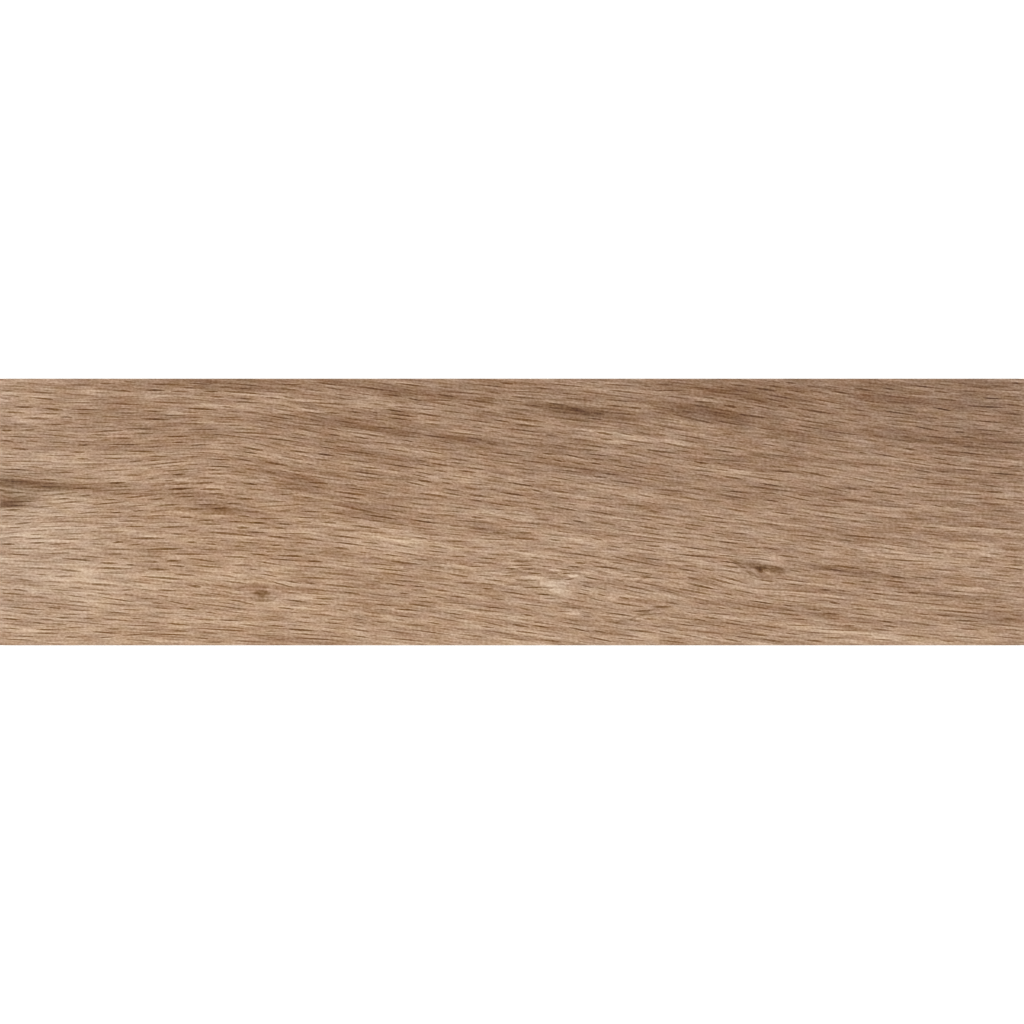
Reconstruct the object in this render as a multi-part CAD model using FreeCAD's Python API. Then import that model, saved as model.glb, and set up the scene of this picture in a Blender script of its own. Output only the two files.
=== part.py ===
"""Wood-look porcelain plank tile: one dry-pressed, glazed, fired and edge-ground piece.

Millimetres, +Z up. The origin is the middle of the underside, where the plank lies on a floor.
X runs along the plank, Y across it, and the printed face looks up.
"""

import math
import os

import FreeCAD
import Part

# The fired and ground plank
PLANK_LENGTH = 600.0
PLANK_WIDTH = 156.0
PLANK_THICKNESS = 9.0

# The narrow bevel that is ground round the printed face
ARRIS_BEVEL = 0.5

# The keying relief on the back: shallow drafted pockets, with a grid of ribs left between them
RIM_WIDTH = 8.0
RIB_WIDTH = 3.0
POCKET_DEPTH = 0.6
POCKET_DRAFT_DEG = 45.0
POCKET_CORNER_RADIUS = 2.5
POCKET_PITCH_WANTED = 24.0


def even_count(span):
    """How many pockets share a span between the rims: an even number, so a rib is on the centre line."""
    pairs = round((span + RIB_WIDTH) / (2 * POCKET_PITCH_WANTED))
    return 2 * max(1, pairs)


def bevelled_slab():
    """The plain plank, with its four upper edges bevelled."""
    slab = Part.makeBox(
        PLANK_LENGTH,
        PLANK_WIDTH,
        PLANK_THICKNESS,
        FreeCAD.Vector(-PLANK_LENGTH / 2, -PLANK_WIDTH / 2, 0),
    )
    upper_edges = [edge for edge in slab.Edges if edge.BoundBox.ZMin > PLANK_THICKNESS / 2]
    return slab.makeChamfer(ARRIS_BEVEL, upper_edges)


def rounded_rectangle(length, width, radius, z):
    """A closed wire round the Z axis at height z: four sides joined by tangent quarter circles."""
    edges = []
    for quarter in range(4):
        turn = FreeCAD.Rotation(FreeCAD.Vector(0, 0, 1), 90 * quarter)
        along, across = (length, width) if quarter % 2 == 0 else (width, length)
        half_along, half_across = along / 2 - radius, across / 2
        side_start = FreeCAD.Vector(-half_along, -half_across, z)
        side_end = FreeCAD.Vector(half_along, -half_across, z)
        corner_end = FreeCAD.Vector(half_along + radius, -half_across + radius, z)
        bulge = radius * math.sin(math.radians(45))
        corner_middle = FreeCAD.Vector(half_along + bulge, -half_across + radius - bulge, z)
        side = [turn.multVec(point) for point in (side_start, side_end)]
        corner = [turn.multVec(point) for point in (side_end, corner_middle, corner_end)]
        edges.append(Part.LineSegment(*side).toShape())
        edges.append(Part.Arc(*corner).toShape())
    return Part.Wire(edges)


def pocket_tool(length, width):
    """One pocket as a solid: its mouth on the back, narrowing by the draft to its floor."""
    run = POCKET_DEPTH * math.tan(math.radians(POCKET_DRAFT_DEG))
    mouth = rounded_rectangle(length, width, POCKET_CORNER_RADIUS, 0)
    floor = rounded_rectangle(
        length - 2 * run, width - 2 * run, POCKET_CORNER_RADIUS - run, POCKET_DEPTH
    )
    return Part.makeLoft([mouth, floor], True, True)


def keying_pockets():
    """Every pocket of the back, in rows and columns that fill the space inside the rim."""
    span_x = PLANK_LENGTH - 2 * RIM_WIDTH
    span_y = PLANK_WIDTH - 2 * RIM_WIDTH
    columns = even_count(span_x)
    rows = even_count(span_y)
    pitch_x = (span_x + RIB_WIDTH) / columns
    pitch_y = (span_y + RIB_WIDTH) / rows
    tool = pocket_tool(pitch_x - RIB_WIDTH, pitch_y - RIB_WIDTH)
    pockets = []
    for column in range(columns):
        for row in range(rows):
            pocket = tool.copy()
            x = (column - (columns - 1) / 2) * pitch_x
            y = (row - (rows - 1) / 2) * pitch_y
            pocket.translate(FreeCAD.Vector(x, y, 0))
            pockets.append(pocket)
    print(f"back relief: {columns} x {rows} pockets, pitch {pitch_x:.2f} x {pitch_y:.2f} mm")
    return pockets


def plank_tile():
    """The whole tile as one solid."""
    return bevelled_slab().cut(keying_pockets()).Solids[0]


def main():
    os.makedirs("parts", exist_ok=True)
    tile = plank_tile()
    tile.exportStep("parts/plank_tile.step")
    box = tile.BoundBox
    print(f"plank_tile: {box.XLength:.2f} x {box.YLength:.2f} x {box.ZLength:.2f} mm")
    print(f"valid {tile.isValid()}, {len(tile.Faces)} faces, {tile.Volume / 1000:.1f} cm3")


main()
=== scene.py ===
"""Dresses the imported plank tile: an oak print on a carved glazed face, ground sides and a pressed back.

The print is laid out in millimetres on the face, the way the photograph shows it. Along runs from the
left end and down runs from the rear long edge. Across is down with the drift of the grain taken off,
so one grain line keeps one value of across from end to end. Tones are grey levels of 255.
"""

from collections import namedtuple

import bmesh
import bpy
import numpy as np
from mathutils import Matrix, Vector
from mathutils.geometry import delaunay_2d_cdt


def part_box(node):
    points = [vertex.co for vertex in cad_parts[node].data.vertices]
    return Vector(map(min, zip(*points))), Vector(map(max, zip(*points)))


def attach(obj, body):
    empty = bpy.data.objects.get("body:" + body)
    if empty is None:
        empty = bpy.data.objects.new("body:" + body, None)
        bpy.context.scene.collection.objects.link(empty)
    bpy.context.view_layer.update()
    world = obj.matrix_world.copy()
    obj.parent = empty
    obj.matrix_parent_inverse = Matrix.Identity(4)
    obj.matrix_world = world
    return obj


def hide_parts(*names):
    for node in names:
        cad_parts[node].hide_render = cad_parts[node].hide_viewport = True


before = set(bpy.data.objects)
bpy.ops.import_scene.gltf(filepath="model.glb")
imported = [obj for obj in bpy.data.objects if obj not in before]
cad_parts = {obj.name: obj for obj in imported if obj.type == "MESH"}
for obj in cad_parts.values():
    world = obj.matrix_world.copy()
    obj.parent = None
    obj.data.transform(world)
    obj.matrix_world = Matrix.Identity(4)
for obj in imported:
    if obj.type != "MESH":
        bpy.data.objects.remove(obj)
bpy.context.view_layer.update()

MM = 0.001
NODE = "plank_tile"
SEED = 11

# The plank's own sizes, from the frame
LOW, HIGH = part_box(NODE)
LENGTH = (HIGH.x - LOW.x) / MM
WIDTH = (HIGH.y - LOW.y) / MM
TOUCH = 1e-6


def bevel_corner():
    """The bevel's run on the face in millimetres, and the height in metres where the sides end."""
    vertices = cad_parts[NODE].data.vertices
    face_end = max(vertex.co.x for vertex in vertices if vertex.co.z > HIGH.z - TOUCH)
    shoulder = max(vertex.co.z for vertex in vertices if vertex.co.x > HIGH.x - TOUCH)
    return (HIGH.x - face_end) / MM, shoulder


BEVEL, SHOULDER = bevel_corner()

# What the lists below hold. A swell's, a streak's and a mark's sizes and a line's width run from its middle.
Swell = namedtuple("Swell", "along down length width lift")
Knot = namedtuple("Knot", "along down reach push")
Streak = namedtuple("Streak", "along down length width tone")
Mark = namedtuple("Mark", "along down length width turn tone soft")
Layer = namedtuple("Layer", "along across detail tone")
Pores = namedtuple("Pores", "wanted tries length spread shortest longest slim broad gap weakest strongest")
Line = namedtuple("Line", "along down end_along end_down width share")
Ink = namedtuple("Ink", "grey red green blue")
Patch = namedtuple("Patch", "left bottom width height")

# The drift of the grain: its slope down to the right, and where and how gently that changes
LEFT_SLOPE = 0.045
MIDDLE_SLOPE = 0.13
RIGHT_SLOPE = 0.08
FIRST_TURN, FIRST_EASE = 160, 30
SECOND_TURN, SECOND_EASE = 540, 25
SWELLS = (
    Swell(along=132, down=48, length=46, width=30, lift=4.6),
    Swell(along=52, down=90, length=40, width=12, lift=1.6),
    Swell(along=-8, down=62, length=36, width=8, lift=3.0),
    Swell(along=112, down=128, length=70, width=20, lift=-3.5),
    Swell(along=410, down=8, length=80, width=16, lift=2.6),
    Swell(along=384, down=128, length=22, width=12, lift=1.6),
    Swell(along=420, down=128, length=60, width=14, lift=-1.5),
)
# Where pores lean away from the grain's drift, and how much more they come down to the right
LEANS = (
    Streak(60, 78, 90, 24, -0.1),
    Streak(10, 67, 50, 8, -0.07),
    Streak(172, 74, 24, 20, -0.12),
    Streak(320, 10, 34, 10, -0.05),
    Streak(394, 10, 30, 10, -0.05),
    Streak(308, 112, 26, 14, -0.13),
    Streak(281, 96, 22, 14, -0.08),
    Streak(380, 136, 11, 5, -0.24),
    Streak(394, 107, 20, 10, -0.05),
    Streak(565, 88, 40, 16, -0.045),
    Streak(94, 107, 20, 12, -0.035),
    Streak(494, 147, 34, 10, -0.07),
    Streak(56, 147, 24, 8, -0.05),
    Streak(138, 129, 34, 16, 0.12),
    Streak(244, 50, 26, 18, 0.04),
    Streak(394, 42, 28, 22, 0.04),
    Streak(360, 126, 18, 8, 0.2),
    Streak(431, 124, 22, 14, 0.1),
    Streak(345, 147, 24, 7, 0.05),
    Streak(206, 147, 26, 8, 0.05),
    Streak(10, 142, 26, 14, 0.04),
)

# The pin knots, and how far and how much they push the grain aside
KNOTS = (
    Knot(along=153.4, down=125.6, reach=7, push=0.35),
    Knot(along=445.5, down=111.4, reach=8, push=0.25),
)

# The broad tone of the print
MEAN_TONE = 142.5
TONE_DOWN = 10.5
TONE_ALONG = -7.0
DARK_STREAKS = (
    Streak(415, 14, 40, 12, -9),
    Streak(108, 1.5, 50, 3.5, -26),
    Streak(228, 7, 40, 2.6, -17),
    Streak(258, 8.6, 30, 2.6, -22),
    Streak(322, 17.4, 24, 3, -29),
    Streak(340, 19.6, 20, 2.8, -32),
    Streak(358, 20.4, 20, 3, -16),
    Streak(412, 20.4, 24, 3.2, -29),
    Streak(436, 11, 34, 3.2, -11),
    Streak(522, 12, 16, 4, -22),
    Streak(573, 13.5, 20, 4, -22),
    Streak(510, 12, 110, 20, -10),
    Streak(585, 38, 26, 4.5, -23),
    Streak(530, 34.5, 36, 3.6, -24),
    Streak(465, 31, 28, 3, -14),
    Streak(465, 46, 32, 3, -13),
    Streak(192, 25.5, 34, 2.6, -31),
    Streak(240, 31.5, 34, 2.8, -28),
    Streak(284, 37.5, 24, 3, -29),
    Streak(200, 40, 34, 4, -13),
    Streak(100, 32, 30, 5, -11),
    Streak(327, 40.5, 18, 3.4, -23),
    Streak(345, 55, 30, 3.6, -19),
    Streak(375, 61.5, 20, 3, -13),
    Streak(436, 62, 26, 2.8, -14),
    Streak(486, 68.5, 26, 3.2, -21),
    Streak(581, 76, 16, 3, -31),
    Streak(6, 59.8, 26, 2.6, -43),
    Streak(28, 62, 24, 2.2, -37),
    Streak(12, 62.8, 20, 3.2, -22),
    Streak(6, 67, 18, 4.2, -21),
    Streak(2, 73.6, 12, 1.8, -80),
    Streak(58, 63.4, 14, 2, -22),
    Streak(108, 68.4, 26, 3, -20),
    Streak(130, 75.5, 17, 3, -31),
    Streak(176, 63, 20, 4.2, -27),
    Streak(218, 73.5, 24, 2.6, -18),
    Streak(228, 82.5, 24, 2.6, -22),
    Streak(284, 88, 14, 3.2, -29),
    Streak(190, 101.5, 34, 1.5, -17),
    Streak(237, 108.5, 22, 2, -16),
    Streak(492, 112.6, 30, 2.4, -22),
    Streak(528, 117.5, 20, 2.4, -14),
    Streak(556, 127, 22, 2.6, -22),
    Streak(588, 138, 26, 3, -24),
    Streak(560, 138, 60, 16, -3),
    Streak(465, 136.5, 32, 2.6, -21),
    Streak(478, 124, 14, 2, -14),
    Streak(363, 148.5, 12, 3, -13),
    Streak(175, 153.6, 26, 3, -21),
    Streak(100, 147, 28, 2.6, -11),
)
PALE_STREAKS = (
    Streak(300, 98, 180, 16, 7),
    Streak(47, 112, 26, 14, 14),
    Streak(28, 88, 22, 11, 16),
    Streak(40, 73, 13, 4.5, 19),
    Streak(52, 128, 18, 8, 12),
    Streak(2, 106, 16, 4, 14),
    Streak(134, 114, 16, 5.5, 17),
    Streak(178, 126, 14, 2.6, 14),
    Streak(235, 97, 22, 3.6, 24),
    Streak(326, 122, 14, 6, 5),
    Streak(18, 8, 40, 9, 14),
    Streak(338, 94, 18, 3, 13),
    Streak(174, 82.5, 20, 2, 13),
    Streak(140, 63, 12, 2, 12),
    Streak(268, 58.5, 16, 3, 14),
    Streak(365, 34, 26, 3, 16),
    Streak(72, 54, 24, 3, 12),
    Streak(30, 46, 34, 3, 11),
    Streak(16, 22, 26, 3.6, 12),
    Streak(571, 98, 18, 2.6, 16),
    Streak(552, 107, 50, 3, 17),
    Streak(566, 124, 18, 3.4, 17),
    Streak(430, 141, 40, 1.4, 22),
    Streak(500, 149, 44, 1.7, 22),
    Streak(116, 143, 30, 1.8, 13),
    Streak(129, 15, 50, 3.5, 11),
    Streak(198, 13.5, 40, 3, 9),
)

# Marks that lie across the grain, with their turn in degrees
LEFT_KNOT_MARKS = (
    Mark(154.5, 126, 8, 5.5, 0, -11, 1),
    Mark(153.6, 126, 5.2, 2.4, 4, -28, 0.5),
    Mark(153.3, 126.3, 2.3, 1.2, 20, -24, 0.7),
    Mark(156.2, 124.8, 3.2, 0.9, 10, -22, 0.5),
    Mark(150.6, 125, 2.6, 1, -12, -14, 0.6),
    Mark(150.4, 120, 1.8, 1, 8, -14, 0.8),
    Mark(155.4, 121.6, 2.2, 1.7, 0, -12, 0.9),
    Mark(154.6, 129.8, 7.4, 0.9, 0, -37, 0.7),
    Mark(147.6, 128.4, 1.9, 0.5, 50, -20, 0.6),
    Mark(161.4, 128.6, 2, 0.5, -50, -20, 0.6),
    Mark(162.6, 123, 3, 0.4, 65, -16, 0.6),
    Mark(158.4, 122.7, 2.2, 0.8, 0, 22, 0.4),
    Mark(154.8, 128.5, 4.4, 0.5, 0, 10, 0.6),
)
RIGHT_KNOT_MARKS = (
    Mark(440, 109.4, 10, 4, 14, -9, 1),
    Mark(446.6, 111.6, 4.8, 2.3, 10, -46, 0.7),
    Mark(445.4, 112.5, 2, 1.2, 20, -30, 0.6),
    Mark(448.9, 112.5, 2.4, 1.2, 8, 41, 0.4),
    Mark(448.7, 112.5, 1, 0.5, 8, -20, 0.6),
    Mark(455.1, 112.5, 5, 2.6, 8, -33, 0.6),
    Mark(441.4, 109.9, 6.4, 1.5, 20, -24, 0.9),
    Mark(446.4, 108.8, 8, 0.7, 9, -24, 0.6),
    Mark(455.4, 110.3, 4.6, 0.5, 13, -24, 0.5),
    Mark(431.5, 107.4, 4.5, 0.5, 24, -38, 0.5),
    Mark(433.5, 109.4, 5, 0.5, 24, -42, 0.5),
    Mark(436.2, 111.2, 5, 0.5, 25, -36, 0.5),
    Mark(438.8, 113.2, 5, 0.55, 24, -28, 0.5),
    Mark(442, 115.2, 5.4, 0.55, 22, -24, 0.5),
    Mark(434.8, 110.3, 4.5, 0.4, 24, 22, 0.5),
    Mark(437.5, 112.2, 4.5, 0.4, 24, 24, 0.5),
    Mark(440.4, 114.2, 4.8, 0.4, 23, 22, 0.5),
    Mark(454.5, 105.6, 5.4, 2.6, 8, 14, 0.9),
)
RAY_MARKS = (
    Mark(322.2, 119.8, 6.2, 1.4, 3, 23, 0.1),
    Mark(330.4, 119.6, 3.4, 0.9, 8, 22, 0.3),
    Mark(328.6, 124.4, 7, 1.6, 4, 19, 0.1),
    Mark(332.6, 126.8, 5, 0.8, 4, 18, 0.4),
    Mark(312.2, 116.3, 7, 0.9, 3, 26, 0.2),
    Mark(334.6, 137, 5.4, 1.1, 6, 26, 0.2),
    Mark(345.8, 113.1, 5.2, 1.4, 10, 18, 0.5),
    Mark(358.8, 129, 3.8, 1.4, 14, 20, 0.4),
    Mark(320, 130.6, 5.5, 3, 4, 10, 0.8),
    Mark(298, 108.4, 5, 0.9, 3, 16, 0.4),
    Mark(343, 128.6, 6, 2.2, 6, -6, 0.8),
    Mark(318.5, 122.1, 6.5, 0.5, 3, -32, 0.4),
    Mark(307, 118.6, 6.5, 0.5, 2, -28, 0.5),
    Mark(301, 110, 3.8, 0.75, 3, 32, 0.3),
    Mark(335.8, 115.3, 3.4, 0.8, -3, 32, 0.3),
    Mark(325.2, 112, 4, 0.75, 3, 30, 0.3),
    Mark(309.1, 102.9, 4.5, 0.9, 3, 18, 0.5),
    Mark(276, 95.1, 5, 1, 3, 16, 0.5),
)
WAVE_MARKS = (
    Mark(4, 66, 5, 0.6, 17, -24, 0.6),
    Mark(5, 69.5, 5, 0.6, 17, -24, 0.6),
    Mark(344.5, 137.4, 6, 0.9, 8, -22, 0.7),
    Mark(355, 140.2, 6.5, 1, 15, -22, 0.7),
    Mark(366, 141.2, 6, 1.1, -8, -22, 0.7),
    Mark(376, 137.8, 7, 1.1, -24, -24, 0.7),
    Mark(388, 134, 7, 1.2, -10, -24, 0.7),
    Mark(376.4, 117.2, 5, 1, -26, -28, 0.7),
)
MARKS = LEFT_KNOT_MARKS + RIGHT_KNOT_MARKS + RAY_MARKS + WAVE_MARKS
# How far a wholly soft mark fades past its outline and inside it, and how uneven the outlines are
MARK_FADE_OUT = 0.35
MARK_FADE_IN = 0.7
MARK_WOBBLE = 0.5
MARK_WOBBLE_SIZE = 2.0
MARK_WOBBLE_DETAIL = 2.0
# The marks that no pore runs through
CLEAR_MARKS = LEFT_KNOT_MARKS[:3] + RIGHT_KNOT_MARKS[1:7] + RAY_MARKS[:6]

# The pores: shallow grooves that follow the grain, dark in the middle and pale along their flanks
CLEAR_PORES = Pores(
    wanted=1750, tries=240000, length=18, spread=0.44, shortest=7, longest=46,
    slim=0.74, broad=1.18, gap=0.1, weakest=0.48, strongest=0.98,
)
FAINT_PORES = Pores(
    wanted=1000, tries=120000, length=9, spread=0.45, shortest=4, longest=20,
    slim=0.5, broad=0.78, gap=0.2, weakest=0.3, strongest=0.72,
)
# The most striking pores of the photograph, from end to end: short ones round the rays, then long ones
# of the middle, the left part and the right part
DRAWN_PORES = (
    Line(295.6, 111, 304.4, 111.5, 0.9, 1.15),
    Line(308.4, 113.5, 318, 114.2, 0.95, 1.15),
    Line(300.6, 117.6, 315.4, 118.2, 0.9, 1),
    Line(293.8, 115.1, 303, 115.6, 0.9, 1),
    Line(319.4, 113.5, 327.4, 114, 0.9, 1.05),
    Line(328.2, 114.2, 334.6, 113.8, 0.85, 1.05),
    Line(319.4, 116.9, 329.4, 117.4, 0.8, 1),
    Line(330, 117.6, 336.6, 117, 0.85, 1.05),
    Line(318.2, 128.5, 326, 128.8, 0.85, 1),
    Line(312.6, 125.9, 325, 126.7, 0.95, 1.1),
    Line(318.4, 105.3, 332, 106.9, 0.9, 0.95),
    Line(310.2, 104.5, 317.8, 105, 0.85, 1.05),
    Line(332, 109.6, 340.8, 110.3, 0.9, 1),
    Line(315.6, 109.5, 324, 110, 0.85, 1),
    Line(278, 104.7, 291.8, 105.4, 0.9, 0.95),
    Line(325.6, 136.2, 336.2, 136.4, 0.8, 0.95),
    Line(285.6, 137.7, 322, 142.8, 0.9, 1),
    Line(296, 139.9, 332, 145, 0.9, 0.9),
    Line(281, 141.7, 299, 145.8, 0.9, 0.9),
    Line(281, 146.7, 305, 150.5, 0.9, 0.9),
    Line(332, 145, 347, 148.7, 0.9, 0.9),
    Line(325, 101, 354.5, 104.8, 0.9, 0.9),
    Line(355, 103.3, 391, 110.6, 0.9, 0.9),
    Line(341, 115.7, 355, 118.3, 0.9, 1),
    Line(281, 42.4, 308.6, 45.3, 0.9, 0.9),
    Line(287, 47.6, 310, 50.2, 0.9, 0.9),
    Line(246, 41.8, 261.7, 44.4, 0.9, 0.9),
    Line(246, 45.7, 262.4, 48.2, 0.9, 0.8),
    Line(291.7, 66.4, 308, 68.5, 1, 1),
    Line(273.4, 67.8, 291, 69.8, 1.2, 1),
    Line(284.5, 72.3, 303.4, 75, 0.9, 0.9),
    Line(328, 43.5, 346, 47.6, 0.9, 0.9),
    Line(257.8, 63.9, 272.8, 66.2, 0.9, 0.9),
    Line(18.7, 75.4, 32.2, 74.7, 0.85, 0.95),
    Line(26.4, 78.7, 37.5, 78.1, 0.8, 0.8),
    Line(57.4, 81.4, 72.7, 80.9, 0.85, 0.9),
    Line(14.6, 93.7, 27, 93.3, 0.85, 0.9),
    Line(23.4, 86.9, 40.4, 86.3, 0.8, 0.8),
    Line(97.3, 102.4, 127.7, 102.9, 0.9, 0.95),
    Line(128.8, 103.8, 148.2, 104.8, 0.9, 0.95),
    Line(149.2, 106.5, 168.7, 109.7, 0.9, 0.95),
    Line(170.5, 109.2, 198, 111.1, 0.9, 0.95),
    Line(69.1, 123.8, 79.7, 123.4, 0.9, 0.95),
    Line(55, 151.9, 69, 150.8, 0.8, 0.85),
    Line(70.3, 150.3, 87.9, 149.3, 0.8, 0.9),
    Line(80.9, 147.5, 97.3, 146.8, 0.85, 0.9),
    Line(37.5, 145.7, 53.9, 145.2, 0.85, 0.9),
    Line(127.7, 141, 143, 141.7, 0.9, 0.95),
    Line(117.2, 142.8, 125.4, 143.5, 0.85, 0.9),
    Line(75, 97.4, 85.5, 96.6, 0.8, 0.8),
    Line(143, 149.6, 170, 150.8, 0.85, 0.9),
    Line(171, 151.4, 199, 153.1, 0.85, 0.85),
    Line(382.6, 84.3, 395.8, 86, 0.8, 0.85),
    Line(396.6, 84.3, 416.9, 87.2, 0.85, 0.95),
    Line(413.5, 83.2, 426.9, 84.3, 0.8, 0.85),
    Line(416.1, 89.9, 426.1, 91.3, 0.8, 0.85),
    Line(427.8, 90.2, 439.5, 91, 0.8, 0.9),
    Line(420.2, 95.2, 433.2, 96.6, 0.85, 0.9),
    Line(434.5, 98.3, 445.4, 99.4, 0.85, 0.95),
    Line(445.4, 92.2, 455.8, 93.5, 0.8, 0.85),
    Line(454.6, 96.2, 468, 97.4, 0.8, 0.85),
    Line(472.1, 96.3, 484.7, 97.9, 0.85, 0.95),
    Line(406, 55.6, 418.6, 57.5, 0.85, 0.9),
    Line(421.1, 65.2, 442, 67.3, 0.85, 0.95),
    Line(443, 61, 457.1, 62.9, 0.8, 0.9),
    Line(456.2, 67.7, 476.5, 72, 0.85, 0.95),
    Line(478.2, 69.8, 493.4, 72.3, 0.85, 0.95),
    Line(475.5, 79.9, 493.4, 82, 0.85, 0.9),
    Line(451.2, 77.8, 463.8, 79.6, 0.8, 0.9),
    Line(508.4, 43, 527.7, 46.6, 0.85, 0.95),
    Line(544.4, 45.9, 555.3, 47.9, 0.85, 0.95),
    Line(492.5, 56.7, 513.4, 60.9, 0.85, 0.9),
    Line(515.5, 62.9, 529.3, 65, 0.85, 1),
    Line(531, 62.5, 542.7, 64.5, 0.85, 0.95),
    Line(520.1, 67.3, 531, 68.4, 0.8, 0.9),
    Line(534.4, 53.1, 546.9, 55, 0.85, 0.9),
    Line(571.2, 61.4, 589.6, 63.9, 0.85, 0.95),
    Line(577, 55, 595.5, 56.3, 0.85, 0.95),
    Line(558.7, 72.7, 573.7, 74.6, 0.85, 0.95),
    Line(544.4, 73.8, 554.5, 75.4, 0.8, 0.9),
    Line(515.1, 18.3, 537.7, 21.7, 0.85, 0.9),
    Line(545.3, 16.7, 557.8, 19, 0.9, 0.95),
    Line(564.5, 15.8, 591.3, 17.2, 1, 0.95),
    Line(574.6, 11.2, 587.3, 11.9, 0.85, 0.9),
    Line(567.9, 24.4, 587.9, 25.8, 0.85, 0.95),
    Line(568.7, 29.2, 591.3, 31.5, 0.9, 0.95),
    Line(534.4, 27.5, 551.1, 30.9, 0.9, 0.9),
)
# How much stronger a pore is for each level of the broad tone and towards the right end, and the bounds
# of the two together
PORE_TONE_SHARE = 0.006
PORE_ALONG_SHARE = -0.07
PORE_SHARES = (0.65, 1.1)
# How unevenly the pores crowd, and the lengths of that unevenness along and across
CROWDING = 0.8
CROWD_LENGTHS = (83.0, 19.0)
# The points of a pore: its ends, its stations between them, its lines from flank to flank, and its depth
PORE_ENDS = (-1.0, 1.0)
PORE_STATIONS = (-0.8, -0.42, 0.0, 0.42, 0.8)
PORE_SIDES = (-1.0, -0.45, 0.0, 0.45, 1.0)
PORE_DEPTH = 0.12
# How irregular a pore is: its tilt, its wander off the line, its lopsidedness and its least strength
PORE_TILT = 0.032
PORE_WANDER = 0.04
PORE_SKEW = 0.3
PORE_LEAST = 0.7
# Room between the ends of two pores and beside the bevel, and how far past the plank's ends
# a pore's middle may lie
PORE_GAP_ALONG = 0.3
PORE_EDGE = 0.25
PORE_MARGIN = BEVEL + PORE_EDGE / 2
PORE_OVERRUN = 6.0
# The print in a pore, by nearness to its bed: where the dark core and the pale flanks begin and end
PORE_CORE = (0.17, 0.73)
PORE_TONE = -70.0
FLANK_RISE = (0.0, 0.15)
FLANK_FALL = (0.24, 0.46)
FLANK_TONE = 41.0
# The nearness, share and depth of a point outside the pores
UNCARVED = (0.0, 0.0, 0.0)

# The grid that keeps the pores apart: its cells, its spare room across and the places that size it
CELL_ALONG = 0.5
CELL_ACROSS = 0.05
GRID_SPARE = 3.0
GRID_PLACES = 200
# How often the place of a grain line is worked out anew before it settles
GRAIN_PASSES = 40

# Spacing of the plain points of the face between the pores, and how near two points count as one
FACE_STEP_ALONG = 4.0
FACE_STEP_DOWN = 2.0
BORDER_STEP = 5.0
FACE_TOUCH = 1e-5
# Directions of the mesh: how far down the back looks, how far front and rear sides look along y,
# and the angle in degrees past which an edge stays sharp
BACK_LOOK = -0.1
SIDE_LOOK = 0.5
SHARP_ANGLE = 5

# Layers of the print finer than the streaks: cell sizes, detail and swing
PRINT_LAYERS = (
    Layer(along=120, across=7.5, detail=2, tone=28),
    Layer(along=70, across=2.8, detail=2, tone=62),
    Layer(along=18, across=1.15, detail=1, tone=78),
    Layer(along=1.7, across=1.05, detail=2, tone=75),
)
# The layers that belong to the bands, the one that is the fibres, and how far apart layers take their noise
BAND_LAYERS = 2
FIBRE_LAYER = 2
LAYER_SHIFT = (17.3, 41.7)
# The middle of the values that noise takes
NOISE_MIDDLE = 0.5

# The levels of a display, and where a step of a colour ramp stands before it gets its own place
LEVELS = 255
RAMP_ENTRY = 0.5
# The ink: how far each channel stands from its grey level, from dark to pale
INK_STEPS = (
    Ink(40, 36.3, -0.3, -36),
    Ink(80, 36.4, 0, -36.4),
    Ink(110, 33.5, -1.2, -32.3),
    Ink(135, 31.4, -2.2, -29.2),
    Ink(155, 30.9, -2, -28.9),
    Ink(175, 29.7, -1.8, -27.9),
    Ink(205, 28.1, -0.9, -27.2),
)
# How rich in colour the ink is, where one is its own richness, and where it differs
RICH_DOWN = 0.018
RICH_ALONG = -0.016
RICH_TONE = 0.0008
RICH_PATCHES = (
    Streak(150, 90, 110, 70, 0.03),
    Streak(0, 90, 44, 60, -0.07),
    Streak(48, 112, 40, 26, -0.045),
    Streak(325, 121, 14, 6, -0.05),
    Streak(355, 80, 30, 80, -0.018),
    Streak(600, 10, 80, 40, -0.03),
    Streak(447, 111, 14, 6, -0.09),
)
RICH_NOISE = Layer(along=14, across=7, detail=1, tone=0.2)
# How far the ink turns from red to cream, in turns of the colour circle: with the broad tone, and by place.
# The shader takes OWN_HUE for no turn.
OWN_HUE = 0.5
CREAM_TONE = 0.00011
CREAM_PATCHES = (
    Streak(40, 104, 44, 34, 0.001),
    Streak(325, 122, 14, 6, 0.004),
    Streak(154, 127, 9, 7, -0.004),
    Streak(6, 65, 40, 10, 0.006),
    Streak(334, 18.5, 36, 5, 0.003),
)
CREAM_NOISE = Layer(along=12, across=6, detail=1, tone=0.014)

# The matt glaze: gloss, roughness in its fibres and pores, and the fibres' fine relief
GLAZE_SPECULAR = 0.3
GLAZE_ROUGHNESS = 0.5
FIBRE_ROUGHNESS = 0.2
PORE_ROUGHNESS = 0.25
FIBRE_BUMP = 0.15
FIBRE_RELIEF = 0.1

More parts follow.
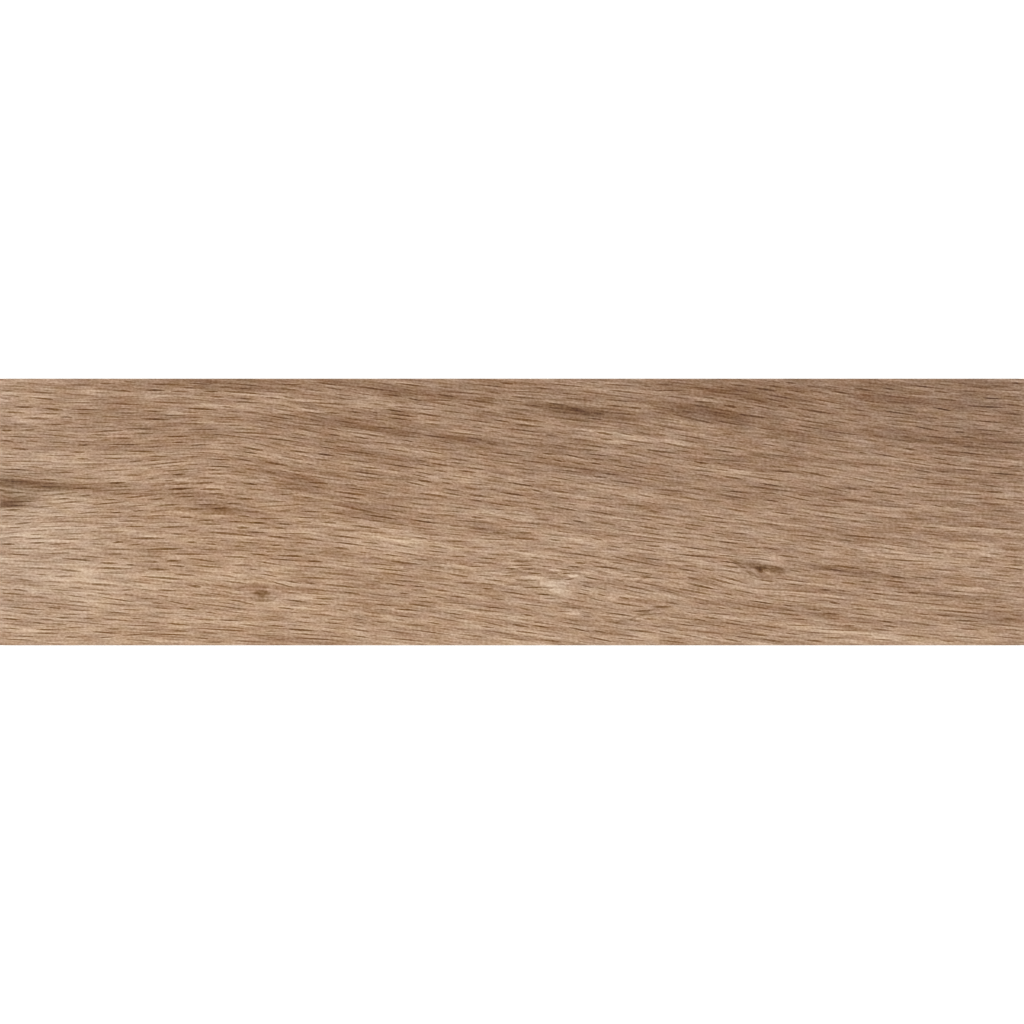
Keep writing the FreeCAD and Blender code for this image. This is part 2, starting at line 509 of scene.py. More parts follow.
# The fired body: its colour from dark to pale, cell sizes of its clouds and specks, and their swing
BODY_INKS = (
    Ink(90, 20, 1, -21),
    Ink(170, 17, 0.5, -17.5),
    Ink(235, 8, 1, -9),
)
BODY_DETAIL = 2.0
BODY_CLOUD, CLOUD_TONE = (26.0, 26.0, 9.0), 40.0
BODY_SPECK, SPECK_TONE = (0.45, 0.45, 0.45), 60.0
IRON_SPECK, IRON_EDGE, IRON_TONE = (1.3, 1.3, 1.3), (0.17, 0.25), -60.0
SIDE_TONE = 180.0
GRIND_SCORE, SCORE_TONE = (34.0, 34.0, 0.16), 44.0
ENGOBE_EDGE, ENGOBE_TONE = (0.75, 0.6), 26.0
SIDE_ROUGHNESS = 0.72
SIDE_BUMP = 0.25
SCORE_RELIEF = 0.05
BACK_TONE = 163.0
KILN_WASH, WASH_EDGE, WASH_TONE = (16.0, 16.0, 4.0), (-0.16, 0.2), 36.0
RIB_EDGE = (0.35, 0.05)
PRESS_GRAIN = (0.7, 0.7, 0.7)
BACK_ROUGHNESS = 0.88
BACK_BUMP = 0.35
PRESS_RELIEF = 0.08
BODY_ROUGHNESS_SWING = 0.3

# Where each surface lies on the texture map
FACE_PATCH = Patch(0.004, 0.004, 0.992, 0.696)
BACK_PATCH = Patch(0.004, 0.712, 0.992, 0.214)
FRONT_PATCH = Patch(0.004, 0.936, 0.992, 0.015)
REAR_PATCH = Patch(0.004, 0.957, 0.992, 0.015)
LEFT_PATCH = Patch(0.004, 0.978, 0.258, 0.015)
RIGHT_PATCH = Patch(0.300, 0.978, 0.258, 0.015)
FACE, SIDE, BACK = 0, 1, 2

# Camera, light and floor, in metres; the camera's own sizes, the floor's drop and the crop in millimetres
LENS = 120.0
SENSOR = 36.0
LIGHT_DISTANCE = 2.2
LIGHT_SIZE = 1.4
LIGHT_POWER = 25.0
WORLD_STRENGTH = 0.3
FLOOR_HALF = 15.0
FLOOR_DROP = 0.05
FLOOR_COLOUR = (0.9, 0.9, 0.9, 1)
FLOOR_ROUGHNESS = 0.9
FLOOR_GLOW = 0.4
WHITE = (1, 1, 1, 1)
# How much of the plank's length the picture leaves out, so that no floor shows past its ends
CROP = 1.0


# The grain

def hump(along, down, mark):
    """A soft mound on a mark of the print: one in its middle and near nought past its length and width."""
    run = (along - mark.along) / mark.length
    drop = (down - mark.down) / mark.width
    return np.exp(-run * run - drop * drop)


def grain_shift(along, down):
    """How far the grain line through a point has come down since the left end."""
    first = FIRST_EASE * np.logaddexp(0, (along - FIRST_TURN) / FIRST_EASE)
    second = SECOND_EASE * np.logaddexp(0, (along - SECOND_TURN) / SECOND_EASE)
    shift = LEFT_SLOPE * along
    shift = shift + (MIDDLE_SLOPE - LEFT_SLOPE) * first + (RIGHT_SLOPE - MIDDLE_SLOPE) * second
    for swell in SWELLS:
        shift = shift - swell.lift * hump(along, down, swell)
    for knot in KNOTS:
        run = (along - knot.along) / knot.reach
        drop = (down - knot.down) / knot.reach
        shift = shift + knot.push * (down - knot.down) * np.exp(-run * run - drop * drop)
    return shift


def across_at(along, down):
    """The grain line that passes through a point of the face."""
    return down - grain_shift(along, down)


def down_at(along, across):
    """Where a grain line lies at that distance along the plank."""
    down = across + grain_shift(along, across)
    for _ in range(GRAIN_PASSES):
        down = across + grain_shift(along, down)
    return down


def broad_tone(along, down):
    """The tone of the print without its fine layers, from the mean."""
    across = across_at(along, down)
    tone = TONE_DOWN * (2 * down / WIDTH - 1) + TONE_ALONG * (2 * along / LENGTH - 1)
    for streak in DARK_STREAKS + PALE_STREAKS:
        line = streak._replace(down=across_at(streak.along, streak.down))
        tone = tone + streak.tone * hump(along, across, line)
    return tone


def richness(along, down):
    """How rich in colour the ink is, where one is its own richness."""
    rich = 1 + RICH_DOWN * (2 * down / WIDTH - 1) + RICH_ALONG * (2 * along / LENGTH - 1)
    rich = rich + RICH_TONE * broad_tone(along, down)
    for patch in RICH_PATCHES:
        rich = rich + patch.tone * hump(along, down, patch)
    return rich


def hue(along, down):
    """The ink's hue as the shader takes it: more than its own where it turns to cream."""
    return OWN_HUE + sum(patch.tone * hump(along, down, patch) for patch in CREAM_PATCHES)


# The carved face

def lean(along, down):
    """How much more than the grain's drift a pore comes down to the right."""
    return sum(mark.tone * hump(along, down, mark) for mark in LEANS)


def covered_cells(start, end, across, tilt, reach):
    """The columns and rows of a long rounded patch; across is counted from the grid's first row."""
    columns = np.arange(int(start / CELL_ALONG), int(end / CELL_ALONG) + 1)[:, None]
    run = columns * CELL_ALONG - (start + end) / 2
    middle = across + tilt * run
    share = np.clip(2 * run / (end - start), -1, 1)
    rows = ((middle - reach) / CELL_ACROSS).astype(int) + np.arange(int(2 * reach / CELL_ACROSS) + 2)
    covered = abs(rows * CELL_ACROSS - middle) <= reach * np.sqrt(1 - share ** 4) + CELL_ACROSS
    return np.broadcast_to(columns, rows.shape)[covered], rows[covered]


def crowd(along, across):
    """How far apart the pores keep at a place, where one is their own gap."""
    along_turn, across_turn = (2 * np.pi / length for length in CROWD_LENGTHS)
    wave = np.sin(along_turn * along + np.sin(across_turn * across))
    return 1 + CROWDING * wave * np.sin(across_turn * across + np.sin(along_turn * along))


def drawn_pores(taken, base):
    """Rows like those of scatter_pores for the drawn pores; takes their cells."""
    rows = []
    for line in DRAWN_PORES:
        start = across_at(line.along, line.down)
        end = across_at(line.end_along, line.end_down)
        length = line.end_along - line.along
        tilt = (end - start) / length
        middle = (start + end) / 2
        reach = line.width + CLEAR_PORES.gap
        taken[covered_cells(line.along, line.end_along, middle - base, tilt, reach)] = True
        rows.append((line.along + length / 2, middle, length / 2, line.width, tilt, line.share))
    return np.array(rows)


def scatter_pores(kind, taken, base, draw):
    """Pores of one kind, clear of the rest: along, across, half length, half width, tilt and share."""
    along = draw.uniform(-PORE_OVERRUN, LENGTH + PORE_OVERRUN, kind.tries)
    down = draw.uniform(0, WIDTH, kind.tries)
    stretch = draw.lognormal(0, kind.spread, kind.tries)
    half_length = np.clip(kind.length * stretch, kind.shortest, kind.longest) / 2
    half_width = draw.uniform(kind.slim, kind.broad, kind.tries)
    tilt = draw.normal(0, PORE_TILT, kind.tries) + lean(along, down)
    share = draw.uniform(kind.weakest, kind.strongest, kind.tries)
    stronger = PORE_TONE_SHARE * broad_tone(along, down) + PORE_ALONG_SHARE * (2 * along / LENGTH - 1)
    share = share * np.clip(1 + stronger, *PORE_SHARES)
    across = across_at(along, down)
    reach = half_width + kind.gap * crowd(along, across)
    start = np.maximum(along - half_length, PORE_EDGE + BEVEL)
    end = np.minimum(along + half_length, LENGTH - PORE_EDGE - BEVEL)
    column = ((start + end) / 2 / CELL_ALONG).astype(int)
    row = ((across - base) / CELL_ACROSS).astype(int)

    kept = []
    for index in np.flatnonzero(end - start > kind.shortest):
        if len(kept) == kind.wanted:
            break
        # A taken middle rules most tries out before all their cells are worked out
        if taken[column[index], row[index]]:
            continue
        first = max(start[index] - PORE_GAP_ALONG, 0)
        last = end[index] + PORE_GAP_ALONG
        cells = covered_cells(first, last, across[index] - base, tilt[index], reach[index])
        if not taken[cells].any():
            taken[cells] = True
            kept.append(index)
    rows = [(start + end) / 2, across, (end - start) / 2, half_width, tilt, share]
    return np.stack(rows, axis=1)[kept]


def grain_grid():
    """An empty grid over the face in grain coordinates, and the value of across at its first row."""
    ends = across_at(np.linspace(0, LENGTH, GRID_PLACES)[:, None], np.array([[0.0, WIDTH]]))
    base = ends.min() - GRID_SPARE
    columns = int(LENGTH / CELL_ALONG) + 2
    rows = int((ends.max() + GRID_SPARE - base) / CELL_ACROSS)
    return np.zeros((columns, rows), bool), base


def keep_marks_clear(taken, base):
    """Takes the cells of some marks, so that no pore runs through them."""
    for mark in CLEAR_MARKS:
        across = across_at(mark.along, mark.down) - base
        start, end = mark.along - mark.length, mark.along + mark.length
        taken[covered_cells(start, end, across, 0, mark.width)] = True


def spread_stations(values):
    """Values of each pore's stations for all its points: nought at the two ends, then line by line."""
    ends = np.zeros((len(values), len(PORE_ENDS)))
    return np.concatenate([ends, np.tile(values, len(PORE_SIDES))], axis=1)


def pore_points(pores, draw):
    """Every pore's points, its ends before its lines: along, across, nearness, share and depth."""
    along, across, half_length, half_width, tilt, share = pores.T[:, :, None]
    station = np.concatenate([PORE_ENDS, np.tile(PORE_STATIONS, len(PORE_SIDES))])
    side = np.concatenate([np.zeros(len(PORE_ENDS)), np.repeat(PORE_SIDES, len(PORE_STATIONS))])
    skew = draw.uniform(-PORE_SKEW, PORE_SKEW, (len(pores), 1))
    wander = spread_stations(draw.normal(0, PORE_WANDER, (len(pores), len(PORE_STATIONS))))
    strength = spread_stations(draw.uniform(PORE_LEAST, 1, (len(pores), len(PORE_STATIONS))))
    taper = np.sqrt(1 - station * station)
    near = (1 - abs(side)) * (abs(station) < 1)
    spot = along + half_length * station
    line = across + tilt * half_length * station + wander
    line = line + side * half_width * taper * (1 + skew * station)
    share = share * strength * taper
    depth = PORE_DEPTH * share * (near == 1)
    return np.stack(np.broadcast_arrays(spot, line, near, share, depth), axis=2)


def pore_edges():
    """The edges of a pore: each of its lines, from end to end."""
    count = len(PORE_STATIONS)
    edges = []
    for line in range(len(PORE_SIDES)):
        first = len(PORE_ENDS) + line * count
        chain = [0, *range(first, first + count), 1]
        edges += list(zip(chain[:-1], chain[1:]))
    return edges


def following_ones(ring):
    """What follows each thing in a ring of them."""
    return ring[1:] + ring[:1]


def border_places(inset):
    """Points round the plank as along and down, from the front left corner by the front edge."""
    corners = (
        (inset, WIDTH - inset),
        (LENGTH - inset, WIDTH - inset),
        (LENGTH - inset, inset),
        (inset, inset),
    )
    places = []
    for corner, following in zip(corners, following_ones(corners)):
        span = max(abs(following[0] - corner[0]), abs(following[1] - corner[1]))
        steps = round(span / BORDER_STEP)
        for step in range(steps):
            share = step / steps
            places.append(tuple(here + (there - here) * share for here, there in zip(corner, following)))
    return places


def laid_pores(taken, base):
    """The points of every pore that keeps off the bevel: along, down, nearness, share and depth."""
    draw = np.random.default_rng(SEED)
    rows = [drawn_pores(taken, base)]
    rows += [scatter_pores(kind, taken, base, draw) for kind in (CLEAR_PORES, FAINT_PORES)]
    along, across, *rest = np.moveaxis(pore_points(np.concatenate(rows), draw), 2, 0)
    down = down_at(along, across)
    on_length = (along > PORE_MARGIN) & (along < LENGTH - PORE_MARGIN)
    on_width = (down > PORE_MARGIN) & (down < WIDTH - PORE_MARGIN)
    return np.stack([along, down, *rest], axis=2)[(on_length & on_width).all(axis=1)]


def plain_places(taken, base):
    """Even places of the face that no pore takes, as along and down."""
    along, down = np.meshgrid(
        np.arange(FACE_STEP_ALONG, LENGTH - PORE_MARGIN, FACE_STEP_ALONG),
        np.arange(FACE_STEP_DOWN, WIDTH - PORE_MARGIN, FACE_STEP_DOWN),
    )
    column = (along / CELL_ALONG).astype(int)
    row = ((across_at(along, down) - base) / CELL_ACROSS).astype(int)
    free = ~taken[column, row]
    return zip(along[free], down[free])


def face_points(border):
    """The carved face's points as along, down, nearness, share and depth, and the edges it keeps."""
    taken, base = grain_grid()
    keep_marks_clear(taken, base)
    points = [(along, down, *UNCARVED) for along, down in border]
    edges = [(index, (index + 1) % len(border)) for index in range(len(border))]
    chains = pore_edges()
    for pore in laid_pores(taken, base):
        start = len(points)
        points += [tuple(point) for point in pore]
        edges += [(start + first, start + second) for first, second in chains]
    points += [(along, down, *UNCARVED) for along, down in plain_places(taken, base)]
    return points, edges


def place(along, down, z):
    """A point of the print as a point in the frame, in metres."""
    return Vector((LOW.x + along * MM, HIGH.y - down * MM, z))


def carve_face(mesh, rim, border):
    """The printed face, triangulated between the pores; its border uses the rim's own vertices."""
    near_layer = mesh.verts.layers.float["near"]
    share_layer = mesh.verts.layers.float["share"]
    points, edges = face_points(border)
    flat = [Vector(point[:2]) for point in points]
    flat, _, faces, sources, _, _ = delaunay_2d_cdt(flat, edges, [], 0, FACE_TOUCH, True)
    vertices = []
    for spot, source in zip(flat, sources):
        if source and source[0] < len(rim):
            vertices.append(rim[source[0]])
            continue
        near, share, depth = points[source[0]][2:] if source else UNCARVED
        vertex = mesh.verts.new(place(spot.x, spot.y, HIGH.z - depth * MM))
        vertex[near_layer] = near
        vertex[share_layer] = share
        vertices.append(vertex)
    return [mesh.faces.new([vertices[index] for index in reversed(face)]) for face in faces]


# The rest of the plank

def close_side(mesh, upper, start, end):
    """One ground side: triangles from the points of its upper edge to its two lower corners."""
    middle = len(upper) // 2
    faces = [mesh.faces.new((start, end, upper[middle]))]
    for left, right in zip(upper[:middle], upper[1:middle + 1]):
        faces.append(mesh.faces.new((start, right, left)))
    for left, right in zip(upper[middle:-1], upper[middle + 1:]):
        faces.append(mesh.faces.new((end, right, left)))
    return faces


def nearest_vertex(vertices, spot):
    """The vertex that lies closest to a spot."""
    return min(vertices, key=lambda vertex: (vertex.co - spot).length)


def frame_back():
    """A mesh that holds only the frame's own back, with its pockets and ribs."""
    mesh = bmesh.new()
    mesh.from_mesh(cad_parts[NODE].data)
    bmesh.ops.remove_doubles(mesh, verts=mesh.verts, dist=TOUCH)
    away = [face for face in mesh.faces if face.normal.z > BACK_LOOK]
    bmesh.ops.delete(mesh, geom=away, context="FACES")
    mesh.verts.layers.float.new("near")
    mesh.verts.layers.float.new("share")
    return mesh


def is_corner(spot):
    """Whether a place on the plank's outline is one of its corners."""
    return spot[0] in (0, LENGTH) and spot[1] in (0, WIDTH)


def dressed_plank():
    """The plank as one closed mesh: the frame's own back, new sides and bevels, and the carved face."""
    mesh = frame_back()
    back = list(mesh.faces)
    standing = list(mesh.verts)
    corners = [
        nearest_vertex(standing, Vector((x, y, LOW.z)))
        for x, y in ((LOW.x, LOW.y), (HIGH.x, LOW.y), (HIGH.x, HIGH.y), (LOW.x, HIGH.y))
    ]

    border = border_places(BEVEL)
    outline = border_places(0.0)
    rim = [mesh.verts.new(place(along, down, HIGH.z)) for along, down in border]
    edge = [mesh.verts.new(place(along, down, SHOULDER)) for along, down in outline]
    faces = carve_face(mesh, rim, border)
    for low, next_low, high, next_high in zip(edge, following_ones(edge), rim, following_ones(rim)):
        faces.append(mesh.faces.new((low, next_low, next_high, high)))

    ring = edge + edge[:1]
    turns = [index for index, spot in enumerate(outline) if is_corner(spot)]
    stops = turns[1:] + [len(edge)]
    sides = []
    for turn, stop, corner, end in zip(turns, stops, corners, following_ones(corners)):
        sides += close_side(mesh, ring[turn:stop + 1], corner, end)
    for surface, group in ((FACE, faces), (SIDE, sides), (BACK, back)):
        for face in group:
            face.material_index = surface
    made = bpy.data.meshes.new("dressed_plank")
    mesh.to_mesh(made)
    mesh.free()
    return made


def gather(items, name, kind, width=1):
    """A property of all the items of a mesh, in rows where it has several values."""
    values = np.zeros(len(items) * width, kind)
    items.foreach_get(name, values)
    return values.reshape(-1, width) if width > 1 else values


def vertex_places(made):
    """The places of a mesh's vertices as rows of x, y and z in metres."""
    return gather(made.vertices, "co", np.float32, 3).astype(float)


def lay_print(made):
    """Stores on the mesh what the materials need: grain and face places, tone, richness and hue."""
    spots = vertex_places(made)
    along = (spots[:, 0] - LOW.x) / MM
    down = (HIGH.y - spots[:, 1]) / MM
    below = (HIGH.z - spots[:, 2]) / MM
    for name, second in (("grain", across_at(along, down)), ("spot", down)):
        values = np.stack([along, second, below], axis=1)
        made.attributes.new(name, "FLOAT_VECTOR", "POINT").data.foreach_set("vector", values.ravel())
    for name, laid in (("tone", broad_tone), ("rich", richness), ("hue", hue)):
        values = laid(along, down)
        made.attributes.new(name, "FLOAT", "POINT").data.foreach_set("value", values)


def lay_out_surfaces(made):
    """The texture map OFBake: the face over most of the square, then the back, then the four sides."""
    corners = gather(made.loops, "vertex_index", np.int32)
    sizes = gather(made.polygons, "loop_total", np.int32)
    surface = np.repeat(gather(made.polygons, "material_index", np.int32), sizes)
    facing = np.repeat(gather(made.polygons, "normal", np.float32, 3), sizes, axis=0)
    x, y, z = ((vertex_places(made)[corners] - np.array(LOW)) / np.array(HIGH - LOW)).T

    lies_along = abs(facing[:, 1]) > SIDE_LOOK
    places = np.zeros((len(corners), 2))
    for here, patch, share in (
        (surface == FACE, FACE_PATCH, (x, y)),
        (surface == BACK, BACK_PATCH, (x, y)),
        ((surface == SIDE) & lies_along & (facing[:, 1] < 0), FRONT_PATCH, (x, z)),
        ((surface == SIDE) & lies_along & (facing[:, 1] > 0), REAR_PATCH, (x, z)),
        ((surface == SIDE) & ~lies_along & (facing[:, 0] < 0), LEFT_PATCH, (y, z)),
        ((surface == SIDE) & ~lies_along & (facing[:, 0] > 0), RIGHT_PATCH, (y, z)),
    ):
        places[here, 0] = patch.left + patch.width * share[0][here]
        places[here, 1] = patch.bottom + patch.height * share[1][here]
    made.uv_layers.new(name="OFBake").data.foreach_set("uv", places.ravel())


# Materials

def linear(level):
    """A display level as linear light, by the usual curve of displays."""
    share = level / LEVELS
    return share / 12.92 if share <= 0.04045 else ((share + 0.055) / 1.055) ** 2.4


def colour(red, green, blue):
    """A display colour, in levels, as a shader's colour."""
    return (linear(red), linear(green), linear(blue), 1.0)


def put(tree, kind, sockets=None, **settings):
    """A new node; sockets gives an input, by name or place, a value or another node's output."""
    node = tree.nodes.new(kind)
    for name, value in settings.items():
        setattr(node, name, value)
    for socket, value in (sockets or {}).items():
        if isinstance(value, bpy.types.NodeSocket):
            tree.links.new(value, node.inputs[socket])
        else:
            node.inputs[socket].default_value = value
    return node


def calculate(tree, operation, *values):
    """The result of one math node."""
    return put(tree, "ShaderNodeMath", dict(enumerate(values)), operation=operation).outputs[0]


def reckon(tree, operation, *vectors):
    """The result of one vector math node."""
    return put(tree, "ShaderNodeVectorMath", dict(enumerate(vectors)), operation=operation).outputs[0]


def smooth_step(tree, value, start, end):
    """Nought at start and before it, one at end and past it, with a smooth way between."""
    return put(
        tree,
        "ShaderNodeMapRange",
        {"Value": value, "From Min": start, "From Max": end},
        interpolation_type="SMOOTHSTEP",
    ).outputs[0]


def stored(tree, name, output):
    """A value that is stored on the mesh."""
    return put(tree, "ShaderNodeAttribute", attribute_name=name).outputs[output]


def new_material(name):
    """An empty node material, its tree and its shader."""
    material = bpy.data.materials.new(name)
    material.use_nodes = True
    return material, material.node_tree, material.node_tree.nodes["Principled BSDF"]


def stretched_noise(tree, coordinates, layer, turn):
    """Noise about zero with cells of the layer's sizes; turn gives each layer a place of its own."""
    scaled = reckon(tree, "MULTIPLY", coordinates, (1 / layer.along, 1 / layer.across, 1))
    moved = reckon(tree, "ADD", scaled, (LAYER_SHIFT[0] * turn, LAYER_SHIFT[1] * turn, 0))
    noise = put(
        tree,
        "ShaderNodeTexNoise",
        {"Vector": moved, "Scale": 1.0, "Detail": layer.detail},
        noise_dimensions="2D",
    )
    return calculate(tree, "SUBTRACT", noise.outputs[0], NOISE_MIDDLE)


def ink_ramp(tree, tone, inks):
    """The colour of a tone in a row of inks."""
    ramp = put(tree, "ShaderNodeValToRGB", {0: calculate(tree, "DIVIDE", tone, LEVELS)})
    elements = ramp.color_ramp.elements
    while len(elements) < len(inks):
        elements.new(RAMP_ENTRY)
    for element, ink in zip(elements, inks):
        element.position = ink.grey / LEVELS
        element.color = colour(*(ink.grey + part for part in ink[1:]))
    return ramp.outputs[0]


def ink_colour(tree, tone, band, grain):
    """The print's colour: its ink, poorer or richer and redder or creamier by place and in small patches."""
    patch = stretched_noise(tree, grain, RICH_NOISE, len(PRINT_LAYERS))
    rich = calculate(tree, "MULTIPLY_ADD", patch, RICH_NOISE.tone, stored(tree, "rich", "Fac"))
    turn = stretched_noise(tree, grain, CREAM_NOISE, len(PRINT_LAYERS) + 1)
    turned = calculate(tree, "MULTIPLY_ADD", turn, CREAM_NOISE.tone, stored(tree, "hue", "Fac"))
    turned = calculate(tree, "MULTIPLY_ADD", band, CREAM_TONE, turned)
    sockets = {"Hue": turned, "Saturation": rich, "Color": ink_ramp(tree, tone, INK_STEPS)}
    return put(tree, "ShaderNodeHueSaturation", sockets).outputs[0]


def pore_profile(tree):
    """How dark a pore is at a point, and how pale the flank beside it."""
    near = stored(tree, "near", "Fac")
    share = stored(tree, "share", "Fac")
    core = smooth_step(tree, near, *PORE_CORE)
    rise = smooth_step(tree, near, *FLANK_RISE)
    flank = calculate(tree, "SUBTRACT", rise, smooth_step(tree, near, *FLANK_FALL))
    return calculate(tree, "MULTIPLY", core, share), calculate(tree, "MULTIPLY", flank, share)


def mark_distance(tree, spot, mark, wobble):
    """How far a point lies from a mark's middle, where one is the mark's own outline."""
    offset = reckon(tree, "SUBTRACT", spot, (mark.along, mark.down, 0))
    turned = put(
        tree,
        "ShaderNodeVectorRotate",
        {"Vector": offset, "Angle": np.radians(-mark.turn)},
        rotation_type="Z_AXIS",
    ).outputs[0]
    uneven = reckon(tree, "ADD", turned, wobble)
    scaled = reckon(tree, "MULTIPLY", uneven, (1 / mark.length, 1 / mark.width, 0))
    return put(tree, "ShaderNodeVectorMath", {0: scaled}, operation="LENGTH").outputs["Value"]


def uneven_offset(tree, spot):
    """A small offset that differs from place to place and makes outlines uneven."""
    noise = put(
        tree,
        "ShaderNodeTexNoise",
        {"Vector": spot, "Scale": 1 / MARK_WOBBLE_SIZE, "Detail": MARK_WOBBLE_DETAIL},
        noise_dimensions="2D",
    )
    centred = reckon(tree, "SUBTRACT", noise.outputs["Color"], (NOISE_MIDDLE, NOISE_MIDDLE, NOISE_MIDDLE))
    return reckon(tree, "MULTIPLY", centred, (2 * MARK_WOBBLE, 2 * MARK_WOBBLE, 0))


def marked_tone(tree, tone):
    """The tone with the marks of the knots, the rays and the wavy grain on it."""
    spot = stored(tree, "spot", "Vector")
    wobble = uneven_offset(tree, spot)
    for mark in MARKS:
        edge = (1 + MARK_FADE_OUT * mark.soft, 1 - MARK_FADE_IN * mark.soft)
        share = smooth_step(tree, mark_distance(tree, spot, mark, wobble), *edge)
        tone = calculate(tree, "MULTIPLY_ADD", share, mark.tone, tone)
    return tone


def raise_surface(tree, shader, height, strength, relief):
    """Gives the shader the fine relief of a height, in millimetres from its lowest to its highest."""
    sockets = {"Height": height, "Strength": strength, "Distance": relief * MM}
    bump = put(tree, "ShaderNodeBump", sockets)
    tree.links.new(bump.outputs[0], shader.inputs["Normal"])


def printed_glaze():
    """The matt glaze with the oak print fired into it."""
    material, tree, shader = new_material("printed_glaze")
    grain = stored(tree, "grain", "Vector")
    noises = [stretched_noise(tree, grain, layer, turn) for turn, layer in enumerate(PRINT_LAYERS)]
    band = stored(tree, "tone", "Fac")
    for noise, layer in zip(noises[:BAND_LAYERS], PRINT_LAYERS[:BAND_LAYERS]):
        band = calculate(tree, "MULTIPLY_ADD", noise, layer.tone, band)
    tone = calculate(tree, "ADD", band, MEAN_TONE)
    for noise, layer in zip(noises[BAND_LAYERS:], PRINT_LAYERS[BAND_LAYERS:]):
        tone = calculate(tree, "MULTIPLY_ADD", noise, layer.tone, tone)
    tone = marked_tone(tree, tone)
    pore, flank = pore_profile(tree)
    tone = calculate(tree, "MULTIPLY_ADD", pore, PORE_TONE, tone)
    tone = calculate(tree, "MULTIPLY_ADD", flank, FLANK_TONE, tone)
    tree.links.new(ink_colour(tree, tone, band, grain), shader.inputs["Base Color"])
    rough = calculate(tree, "MULTIPLY_ADD", noises[FIBRE_LAYER], FIBRE_ROUGHNESS, GLAZE_ROUGHNESS)
    rough = calculate(tree, "MULTIPLY_ADD", pore, PORE_ROUGHNESS, rough)
    tree.links.new(rough, shader.inputs["Roughness"])
    shader.inputs["Specular IOR Level"].default_value = GLAZE_SPECULAR
    raise_surface(tree, shader, noises[FIBRE_LAYER], FIBRE_BUMP, FIBRE_RELIEF)
    return material


def body_noise(tree, spot, sizes):
    """Noise about zero in the fired body, with cells of the given sizes along, down and up."""
    scaled = reckon(tree, "DIVIDE", spot, sizes)
    noise = put(tree, "ShaderNodeTexNoise", {"Vector": scaled, "Scale": 1.0, "Detail": BODY_DETAIL})
    return calculate(tree, "SUBTRACT", noise.outputs[0], NOISE_MIDDLE)


def body_tone(tree, spot, mean):
    """The tone of the fired body: clouded, finely speckled and here and there dark with iron."""
    tone = calculate(tree, "MULTIPLY_ADD", body_noise(tree, spot, BODY_CLOUD), CLOUD_TONE, mean)
    tone = calculate(tree, "MULTIPLY_ADD", body_noise(tree, spot, BODY_SPECK), SPECK_TONE, tone)
    iron = smooth_step(tree, body_noise(tree, spot, IRON_SPECK), *IRON_EDGE)
    return calculate(tree, "MULTIPLY_ADD", iron, IRON_TONE, tone)


def ground_body():
    """The fired body on the ground sides, scored along by the wheel and pale just under the glaze."""
    material, tree, shader = new_material("ground_body")
    spot = stored(tree, "spot", "Vector")
    below = put(tree, "ShaderNodeSeparateXYZ", {0: spot}).outputs["Z"]
    scores = body_noise(tree, spot, GRIND_SCORE)
    tone = body_tone(tree, spot, SIDE_TONE)
    tone = calculate(tree, "MULTIPLY_ADD", scores, SCORE_TONE, tone)
    tone = calculate(tree, "MULTIPLY_ADD", smooth_step(tree, below, *ENGOBE_EDGE), ENGOBE_TONE, tone)
    tree.links.new(ink_ramp(tree, tone, BODY_INKS), shader.inputs["Base Color"])
    rough = calculate(tree, "MULTIPLY_ADD", scores, BODY_ROUGHNESS_SWING, SIDE_ROUGHNESS)
    tree.links.new(rough, shader.inputs["Roughness"])
    raise_surface(tree, shader, scores, SIDE_BUMP, SCORE_RELIEF)
    return material


def pressed_back():
    """The fired body on the pressed back, with patches of kiln wash left on its ribs."""
    material, tree, shader = new_material("pressed_back")
    spot = stored(tree, "spot", "Vector")
    below = put(tree, "ShaderNodeSeparateXYZ", {0: spot}).outputs["Z"]
    height = calculate(tree, "SUBTRACT", (HIGH.z - LOW.z) / MM, below)
    on_ribs = smooth_step(tree, height, *RIB_EDGE)
    wash = smooth_step(tree, body_noise(tree, spot, KILN_WASH), *WASH_EDGE)
    tone = body_tone(tree, spot, BACK_TONE)
    tone = calculate(tree, "MULTIPLY_ADD", calculate(tree, "MULTIPLY", on_ribs, wash), WASH_TONE, tone)
    tree.links.new(ink_ramp(tree, tone, BODY_INKS), shader.inputs["Base Color"])
    press = body_noise(tree, spot, PRESS_GRAIN)
    rough = calculate(tree, "MULTIPLY_ADD", press, BODY_ROUGHNESS_SWING, BACK_ROUGHNESS)
    tree.links.new(rough, shader.inputs["Roughness"])
    raise_surface(tree, shader, press, BACK_BUMP, PRESS_RELIEF)
    return material


# The scene

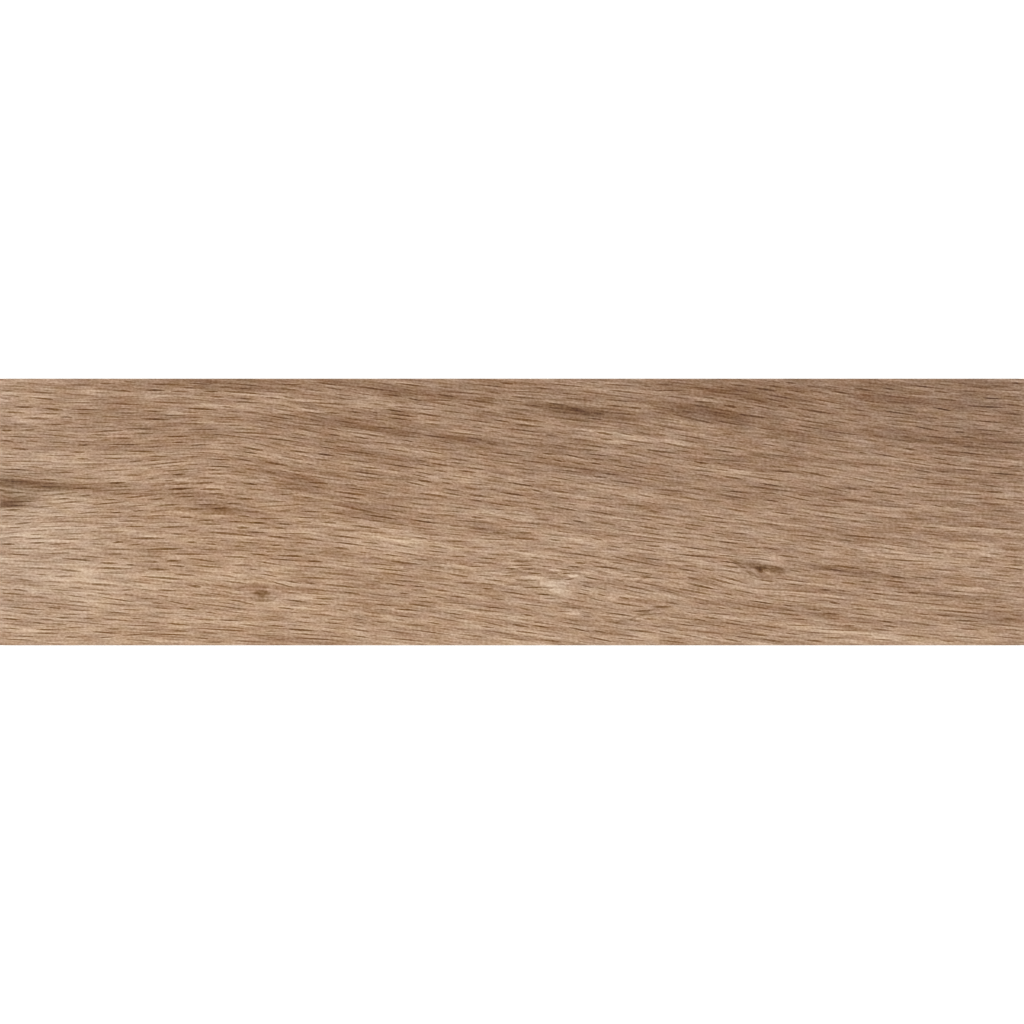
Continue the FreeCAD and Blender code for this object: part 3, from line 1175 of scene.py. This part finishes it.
def add_plank():
    """The dressed plank in place of the frame's plain one."""
    made = dressed_plank()
    lay_print(made)
    lay_out_surfaces(made)
    for material in (printed_glaze(), ground_body(), pressed_back()):
        made.materials.append(material)
    made.polygons.foreach_set("use_smooth", np.ones(len(made.polygons), bool))
    made.set_sharp_from_angle(angle=np.radians(SHARP_ANGLE))
    plank = bpy.data.objects.new("plank", made)
    bpy.context.scene.collection.objects.link(plank)
    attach(plank, "root")
    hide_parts(NODE)


def add_floor():
    """A plain pale floor, just under the plank."""
    made = bpy.data.meshes.new("floor")
    height = LOW.z - FLOOR_DROP * MM
    corners = [(-1, -1), (1, -1), (1, 1), (-1, 1)]
    made.from_pydata([(FLOOR_HALF * x, FLOOR_HALF * y, height) for x, y in corners], [], [(0, 1, 2, 3)])
    material, _, shader = new_material("floor")
    shader.inputs["Base Color"].default_value = FLOOR_COLOUR
    shader.inputs["Roughness"].default_value = FLOOR_ROUGHNESS
    shader.inputs["Emission Color"].default_value = WHITE
    shader.inputs["Emission Strength"].default_value = FLOOR_GLOW
    made.materials.append(material)
    floor = bpy.data.objects.new("floor", made)
    bpy.context.scene.collection.objects.link(floor)


def add_light(side):
    """A large soft light at one end of the plank, half way up the sky."""
    lamp = bpy.data.lights.new("softbox", "AREA")
    lamp.size = LIGHT_SIZE
    lamp.energy = LIGHT_POWER
    light = bpy.data.objects.new("softbox", lamp)
    light.location = Vector((side, 0, 1)).normalized() * LIGHT_DISTANCE
    light.rotation_euler = light.location.to_track_quat("Z", "Y").to_euler()
    bpy.context.scene.collection.objects.link(light)


def add_world():
    """An even pale surround."""
    world = bpy.data.worlds.new("surround")
    world.use_nodes = True
    background = world.node_tree.nodes["Background"]
    background.inputs["Color"].default_value = WHITE
    background.inputs["Strength"].default_value = WORLD_STRENGTH
    bpy.context.scene.world = world


def add_camera():
    """The photograph's view: straight down on the face, the plank as long as the picture is wide."""
    lens = bpy.data.cameras.new("camera")
    lens.lens = LENS
    lens.sensor_width = SENSOR
    camera = bpy.data.objects.new("camera", lens)
    camera.location = (0, 0, HIGH.z + (LENGTH - CROP) * MM * LENS / SENSOR)
    bpy.context.scene.collection.objects.link(camera)
    bpy.context.scene.camera = camera


add_plank()
add_floor()
add_light(-1)
add_light(1)
add_world()
add_camera()
bpy.context.scene.view_settings.view_transform = "Standard"
